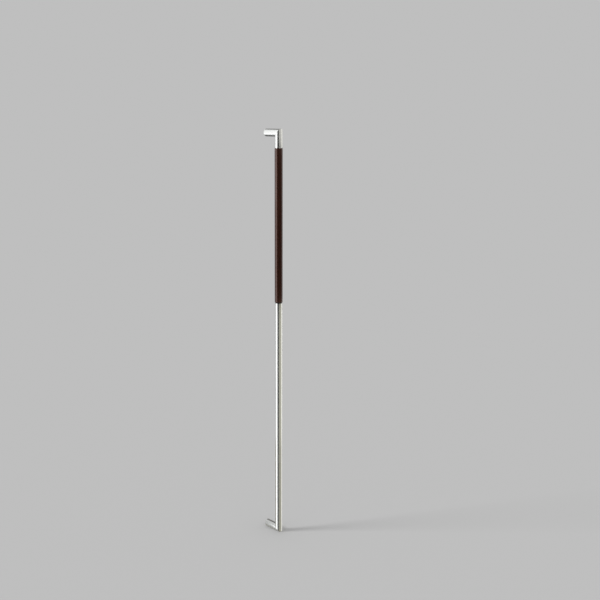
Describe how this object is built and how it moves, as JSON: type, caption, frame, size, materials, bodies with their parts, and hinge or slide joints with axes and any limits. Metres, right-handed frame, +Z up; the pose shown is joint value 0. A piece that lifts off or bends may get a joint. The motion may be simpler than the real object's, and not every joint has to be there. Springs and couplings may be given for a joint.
{
  "type": "door push bar",
  "caption": "Tall straight door push bar: round satin steel tube with mitred posts that hold it off the door, and a dark hardwood grip let into its upper part.",
  "frame": {"origin": "centre of the lower foot, on the mounting plane", "axes": "+Z up along the bar, +Y out of the feet into the door, the bar stands at -Y, X across it"},
  "size_m": [0.027, 0.0735, 1.425],
  "materials": {
    "satin_steel": "satin, fine grain along the tube",
    "dark_hardwood": "satin lacquer over fine straight grain",
    "black_rubber": "matt",
    "turned_steel": "turned",
    "screw_steel": "plain"
  },
  "bodies": {
    "root": {"upper_bracket": "satin_steel", "lower_bar": "satin_steel", "wood_grip": "dark_hardwood", "joint_ring": "black_rubber", "core_rod": "turned_steel", "upper_core_socket": "turned_steel", "lower_core_plug": "turned_steel", "upper_foot_plug": "turned_steel", "lower_foot_plug": "turned_steel", "grub_screw_1": "screw_steel", "grub_screw_2": "screw_steel"}
  },
  "joints": []
}
